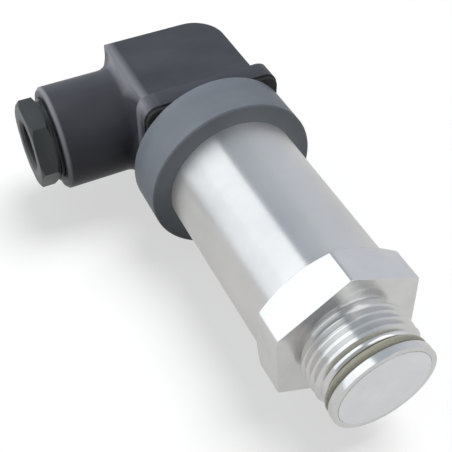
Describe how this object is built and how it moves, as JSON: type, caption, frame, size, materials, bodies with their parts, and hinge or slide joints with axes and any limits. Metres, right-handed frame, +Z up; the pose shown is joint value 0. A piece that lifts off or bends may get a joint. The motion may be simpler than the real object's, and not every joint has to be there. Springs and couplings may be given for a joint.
{
  "type": "pressure transmitter",
  "caption": "Stainless pressure transmitter with a flush diaphragm, hexagon and round case, closed by a dark collar and a right-angle plug with a cable gland.",
  "frame": {"origin": "centre of the hexagon's front shoulder, where the threaded stub begins", "axes": "+Y runs along the pressure axis from the process end to the plug, -X is the way the cable leaves, +Z is up"},
  "size_m": [0.0513, 0.0921, 0.0346],
  "materials": {
    "port_steel": "turned stainless steel, fine lathe lines",
    "case_steel": "satin ground stainless tube",
    "diaphragm_steel": "matt thin stainless foil",
    "seal_brown": "olive-brown fluoro rubber",
    "seal_black": "black nitrile rubber",
    "gasket_rubber": "flat moulded rubber",
    "header_metal": "plated header metal",
    "pin_glass": "sealing glass",
    "pin_gold": "gold plated pins",
    "silicon": "polished silicon",
    "board_green": "solder-masked glass fibre board",
    "chip_black": "moulded chip packages",
    "trimmer_blue": "moulded trimmer",
    "capacitor_tan": "ceramic chips",
    "holder_plastic": "natural nylon",
    "tinned_metal": "tin plated contact metal",
    "brass": "bright brass",
    "zinc_steel": "zinc plated screw steel",
    "collar_plastic": "grey moulded polyamide",
    "plug_plastic": "dark moulded polyamide",
    "nut_plastic": "dark moulded polyamide",
    "insert_plastic": "dark moulded polyamide"
  },
  "bodies": {
    "transmitter": {"pressure_port": "port_steel", "diaphragm": "diaphragm_steel", "front_seal": "seal_brown", "sensor_header": "header_metal", "pin_seals": "pin_glass", "header_pins": "pin_gold", "filling_ball": "header_metal", "die_pedestal": "pin_glass", "sensor_die": "silicon", "disc_board": "board_green", "trim_resistors": "chip_black", "board_holder": "holder_plastic", "link_pins": "tinned_metal", "amplifier_board": "board_green", "amplifier_chip": "chip_black", "output_transistor": "chip_black", "zero_trimmer": "trimmer_blue", "span_trimmer": "trimmer_blue", "board_capacitors": "capacitor_tan", "case_tube": "case_steel", "contact_leads": "tinned_metal", "connector_base": "collar_plastic", "base_seal": "seal_black", "insert_nut": "brass", "contact_blade_1": "tinned_metal", "contact_blade_2": "tinned_metal", "contact_blade_3": "tinned_metal", "earth_blade": "tinned_metal", "flat_gasket": "gasket_rubber"},
    "plug": {"plug_housing": "plug_plastic", "terminal_insert": "insert_plastic", "socket_contact_1": "brass", "socket_contact_2": "brass", "socket_contact_3": "brass", "earth_socket": "brass", "terminal_screws": "zinc_steel", "gland_seal": "seal_black", "gland_washer": "zinc_steel", "screw_seal": "seal_black"},
    "gland_nut": {"gland_nut": "nut_plastic"},
    "retaining_screw": {"retaining_screw": "zinc_steel"}
  },
  "joints": [
    {"name": "plug_slide", "type": "slide", "parent": "transmitter", "child": "plug", "axis": [0, 1, 0], "range_m": [0, 0.012]},
    {"name": "gland_nut_turn", "type": "hinge", "parent": "plug", "child": "gland_nut", "pos_m": [-0.03, 0.0697, 0], "axis": [-1, 0, 0], "continuous": true},
    {"name": "retaining_screw_turn", "type": "hinge", "parent": "plug", "child": "retaining_screw", "pos_m": [0, 0.0804, 0], "axis": [0, 1, 0], "continuous": true}
  ]
}
